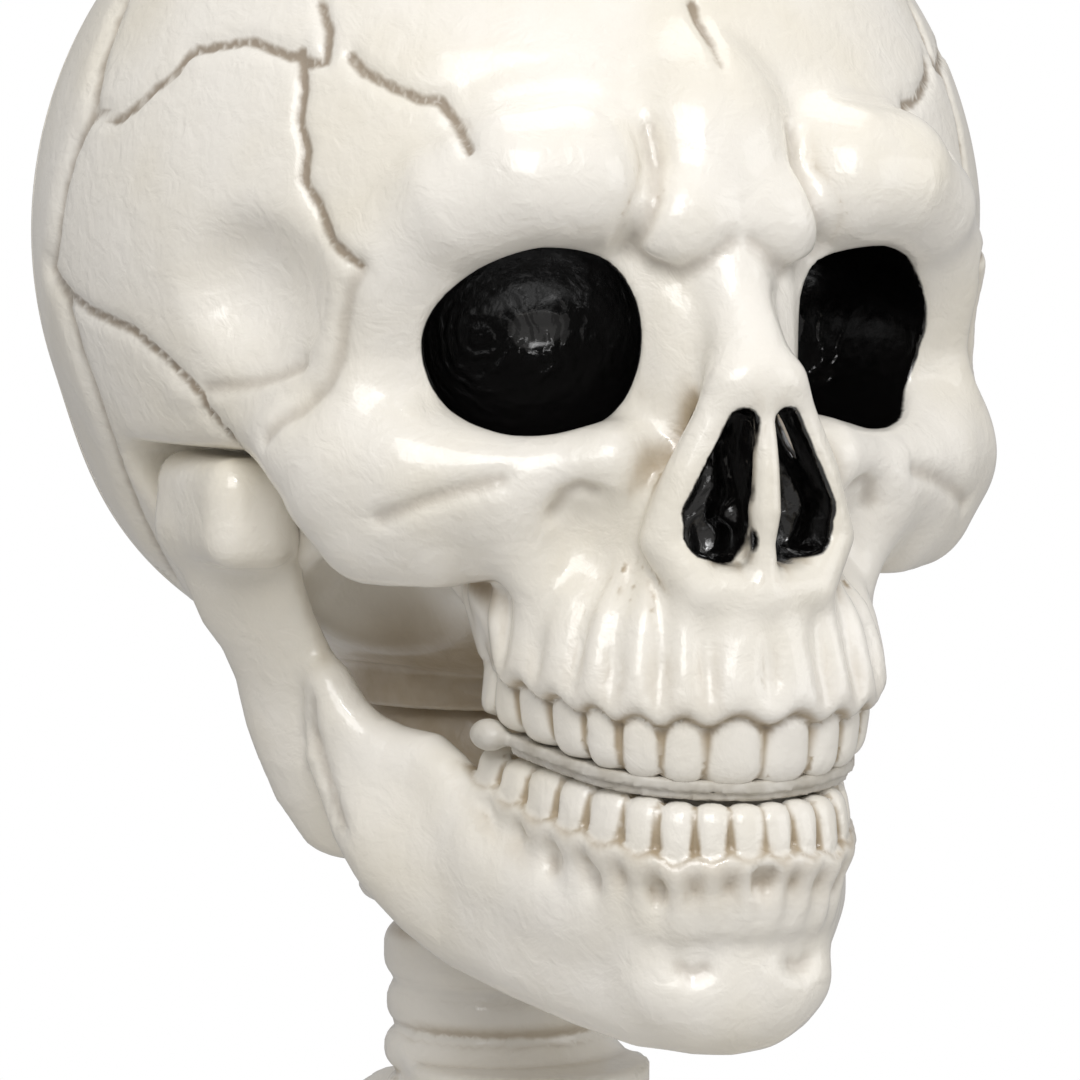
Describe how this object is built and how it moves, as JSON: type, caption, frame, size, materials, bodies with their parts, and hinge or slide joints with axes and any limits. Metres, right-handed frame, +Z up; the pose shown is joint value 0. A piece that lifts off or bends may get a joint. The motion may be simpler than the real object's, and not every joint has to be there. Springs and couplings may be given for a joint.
{
  "type": "plastic skeleton prop",
  "caption": "Posable plastic skeleton that hangs from a loop in its crown, with a hinged jaw, a turning and nodding head, and jointed arms and legs.",
  "frame": {"origin": "where a hook bears inside the hanging loop above the crown, midway across the wire", "axes": "+Z up along the hanging figure, -Y the way the face looks, +X the figure's own left"},
  "size_m": [0.6785, 0.267, 1.5472],
  "materials": {
    "ivory": "gloss",
    "ivory_shade": "satin",
    "bright_steel": "satin"
  },
  "bodies": {
    "skull": {"skull_front": "ivory", "skull_back": "ivory", "bite_plate": "ivory_shade", "hanging_loop": "bright_steel", "jaw_pin_left": "bright_steel", "jaw_pin_right": "bright_steel"},
    "jaw": {"jaw": "ivory"},
    "neck_turn": {"neck_swivel": "ivory_shade"},
    "torso": {"neck_column": "ivory", "neck_bolt": "bright_steel", "ribcage_back": "ivory", "ribcage_front": "ivory", "lumbar_spine": "bright_steel", "pelvis": "ivory"},
    "shoulder_left": {"shoulder_yoke_left": "ivory"},
    "upper_arm_left": {"upper_arm_left": "ivory", "shoulder_bolt_left": "bright_steel"},
    "forearm_left": {"forearm_left": "ivory", "elbow_bolt_left": "bright_steel", "wrist_bolt_left": "bright_steel"},
    "hand_left": {"hand_left": "ivory"},
    "hip_left": {"hip_yoke_left": "ivory"},
    "thigh_left": {"thigh_left": "ivory", "hip_bolt_left": "bright_steel"},
    "shin_left": {"shin_left": "ivory", "knee_bolt_left": "bright_steel", "ankle_bolt_left": "bright_steel"},
    "foot_left": {"foot_left": "ivory"},
    "shoulder_right": {"shoulder_yoke_right": "ivory"},
    "upper_arm_right": {"upper_arm_right": "ivory", "shoulder_bolt_right": "bright_steel"},
    "forearm_right": {"forearm_right": "ivory", "elbow_bolt_right": "bright_steel", "wrist_bolt_right": "bright_steel"},
    "hand_right": {"hand_right": "ivory"},
    "hip_right": {"hip_yoke_right": "ivory"},
    "thigh_right": {"thigh_right": "ivory", "hip_bolt_right": "bright_steel"},
    "shin_right": {"shin_right": "ivory", "knee_bolt_right": "bright_steel", "ankle_bolt_right": "bright_steel"},
    "foot_right": {"foot_right": "ivory"}
  },
  "joints": [
    {"name": "jaw_hinge", "type": "hinge", "parent": "skull", "child": "jaw", "pos_m": [0, -0.01445, -0.14165], "axis": [1, 0, 0], "range_deg": [0, 20]},
    {"name": "head_turn", "type": "hinge", "parent": "skull", "child": "neck_turn", "pos_m": [0, 0, -0.18865], "axis": [0, 0, 1], "range_deg": [-60, 60]},
    {"name": "head_nod", "type": "hinge", "parent": "neck_turn", "child": "torso", "pos_m": [0, 0, -0.18865], "axis": [1, 0, 0], "range_deg": [-15, 20]},
    {"name": "shoulder_swing_left", "type": "hinge", "parent": "torso", "child": "shoulder_left", "pos_m": [0.166, 0.004, -0.31765], "axis": [-1, 0, 0], "range_deg": [-45, 135]},
    {"name": "shoulder_lift_left", "type": "hinge", "parent": "shoulder_left", "child": "upper_arm_left", "pos_m": [0.166, 0.004, -0.31765], "axis": [0, -1, 0], "range_deg": [-10, 80]},
    {"name": "elbow_bend_left", "type": "hinge", "parent": "upper_arm_left", "child": "forearm_left", "pos_m": [0.22297, 0.004, -0.58566], "axis": [-0.9781, 0, -0.2079], "range_deg": [0, 120]},
    {"name": "wrist_bend_left", "type": "hinge", "parent": "forearm_left", "child": "hand_left", "pos_m": [0.27245, 0.004, -0.81846], "axis": [-0.9781, 0, -0.2079], "range_deg": [-50, 60]},
    {"name": "hip_swing_left", "type": "hinge", "parent": "torso", "child": "hip_left", "pos_m": [0.116, -0.0119, -0.74365], "axis": [-1, 0, 0], "range_deg": [-20, 90]},
    {"name": "hip_spread_left", "type": "hinge", "parent": "hip_left", "child": "thigh_left", "pos_m": [0.116, -0.0119, -0.74365], "axis": [0, -1, 0], "range_deg": [0, 28]},
    {"name": "knee_bend_left", "type": "hinge", "parent": "thigh_left", "child": "shin_left", "pos_m": [0.083, -0.0119, -1.11565], "axis": [1, 0, 0], "range_deg": [0, 110]},
    {"name": "ankle_bend_left", "type": "hinge", "parent": "shin_left", "child": "foot_left", "pos_m": [0.075, -0.0059, -1.47765], "axis": [1, 0, 0], "range_deg": [-20, 30]},
    {"name": "shoulder_swing_right", "type": "hinge", "parent": "torso", "child": "shoulder_right", "pos_m": [-0.166, 0.004, -0.31765], "axis": [-1, 0, 0], "range_deg": [-45, 135]},
    {"name": "shoulder_lift_right", "type": "hinge", "parent": "shoulder_right", "child": "upper_arm_right", "pos_m": [-0.166, 0.004, -0.31765], "axis": [0, 1, 0], "range_deg": [-10, 80]},
    {"name": "elbow_bend_right", "type": "hinge", "parent": "upper_arm_right", "child": "forearm_right", "pos_m": [-0.22297, 0.004, -0.58566], "axis": [-0.9781, 0, 0.2079], "range_deg": [0, 120]},
    {"name": "wrist_bend_right", "type": "hinge", "parent": "forearm_right", "child": "hand_right", "pos_m": [-0.27245, 0.004, -0.81846], "axis": [-0.9781, 0, 0.2079], "range_deg": [-50, 60]},
    {"name": "hip_swing_right", "type": "hinge", "parent": "torso", "child": "hip_right", "pos_m": [-0.116, -0.0119, -0.74365], "axis": [-1, 0, 0], "range_deg": [-20, 90]},
    {"name": "hip_spread_right", "type": "hinge", "parent": "hip_right", "child": "thigh_right", "pos_m": [-0.116, -0.0119, -0.74365], "axis": [0, 1, 0], "range_deg": [0, 28]},
    {"name": "knee_bend_right", "type": "hinge", "parent": "thigh_right", "child": "shin_right", "pos_m": [-0.083, -0.0119, -1.11565], "axis": [1, 0, 0], "range_deg": [0, 110]},
    {"name": "ankle_bend_right", "type": "hinge", "parent": "shin_right", "child": "foot_right", "pos_m": [-0.075, -0.0059, -1.47765], "axis": [1, 0, 0], "range_deg": [-20, 30]}
  ]
}
